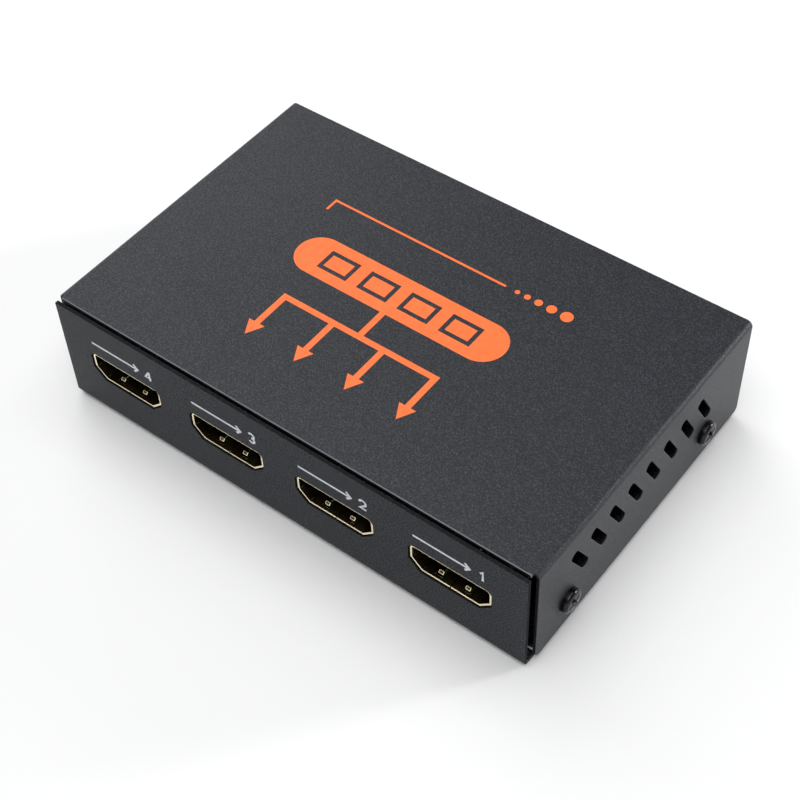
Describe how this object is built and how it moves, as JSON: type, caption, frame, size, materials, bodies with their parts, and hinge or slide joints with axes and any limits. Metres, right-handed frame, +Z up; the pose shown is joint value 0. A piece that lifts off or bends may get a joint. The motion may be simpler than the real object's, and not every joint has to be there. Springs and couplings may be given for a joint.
{
  "type": "video splitter",
  "caption": "Flat sheet-metal video splitter box with a row of outputs in front, an input and a power jack behind, slanted vent slots in its sides and screws that hold the cover.",
  "frame": {"origin": "on the ground, under the middle of the case", "axes": "+X to the right of a person who faces the outputs, +Y from the outputs to the rear, +Z up"},
  "size_m": [0.0966, 0.0612, 0.0226],
  "materials": {
    "case_paint": "fine matt dark grey paint",
    "screw_black": "black oxide, satin",
    "socket_gold": "pale gold plating",
    "socket_plastic": "black moulded plastic",
    "contact_gold": "gold plating",
    "board_green": "green solder mask",
    "standoff_brass": "turned brass",
    "screw_steel": "zinc plated",
    "jack_plastic": "black moulded plastic",
    "jack_metal": "tinned metal",
    "jack_bronze": "spring bronze",
    "light_lens": "clear red resin",
    "chip_plastic": "black moulded resin",
    "crystal_steel": "drawn steel can",
    "ferrite": "grey ferrite",
    "can_aluminium": "drawn aluminium can",
    "ceramic_tan": "tan ceramic"
  },
  "bodies": {
    "case": {"cover": "case_paint", "base_tray": "case_paint", "circuit_board": "board_green", "board_standoffs": "standoff_brass", "board_screws": "screw_steel", "power_jack_housing": "jack_plastic", "power_jack_pin": "jack_metal", "power_jack_tag": "jack_bronze", "power_led_lens": "light_lens", "power_led_legs": "jack_metal", "splitter_chip": "chip_plastic", "config_memory": "chip_plastic", "clock_crystal": "crystal_steel", "voltage_regulator": "chip_plastic", "power_inductor": "ferrite", "bulk_capacitors": "can_aluminium", "ceramic_capacitors": "ceramic_tan", "chip_resistors": "chip_plastic", "output_1_shell": "socket_gold", "output_1_insulator": "socket_plastic", "output_1_contacts": "contact_gold", "output_2_shell": "socket_gold", "output_2_insulator": "socket_plastic", "output_2_contacts": "contact_gold", "output_3_shell": "socket_gold", "output_3_insulator": "socket_plastic", "output_3_contacts": "contact_gold", "output_4_shell": "socket_gold", "output_4_insulator": "socket_plastic", "output_4_contacts": "contact_gold", "input_shell": "socket_gold", "input_insulator": "socket_plastic", "input_contacts": "contact_gold"},
    "case_screw_right_front": {"case_screw_right_front": "screw_black"},
    "case_screw_right_rear": {"case_screw_right_rear": "screw_black"},
    "case_screw_left_front": {"case_screw_left_front": "screw_black"},
    "case_screw_left_rear": {"case_screw_left_rear": "screw_black"},
    "power_jack_spring": {"power_jack_spring": "jack_bronze"}
  },
  "joints": [
    {"name": "case_screw_right_front_out", "type": "slide", "parent": "case", "child": "case_screw_right_front", "axis": [1, 0, 0], "range_m": [0, 0.005]},
    {"name": "case_screw_right_rear_out", "type": "slide", "parent": "case", "child": "case_screw_right_rear", "axis": [1, 0, 0], "range_m": [0, 0.005]},
    {"name": "case_screw_left_front_out", "type": "slide", "parent": "case", "child": "case_screw_left_front", "axis": [-1, 0, 0], "range_m": [0, 0.005]},
    {"name": "case_screw_left_rear_out", "type": "slide", "parent": "case", "child": "case_screw_left_rear", "axis": [-1, 0, 0], "range_m": [0, 0.005]},
    {"name": "power_jack_spring_bend", "type": "hinge", "parent": "case", "child": "power_jack_spring", "pos_m": [0.026, 0.0201, 0.0112], "axis": [-1, 0, 0], "range_deg": [0, 8], "stiffness_Nm_per_rad": 0.2}
  ]
}
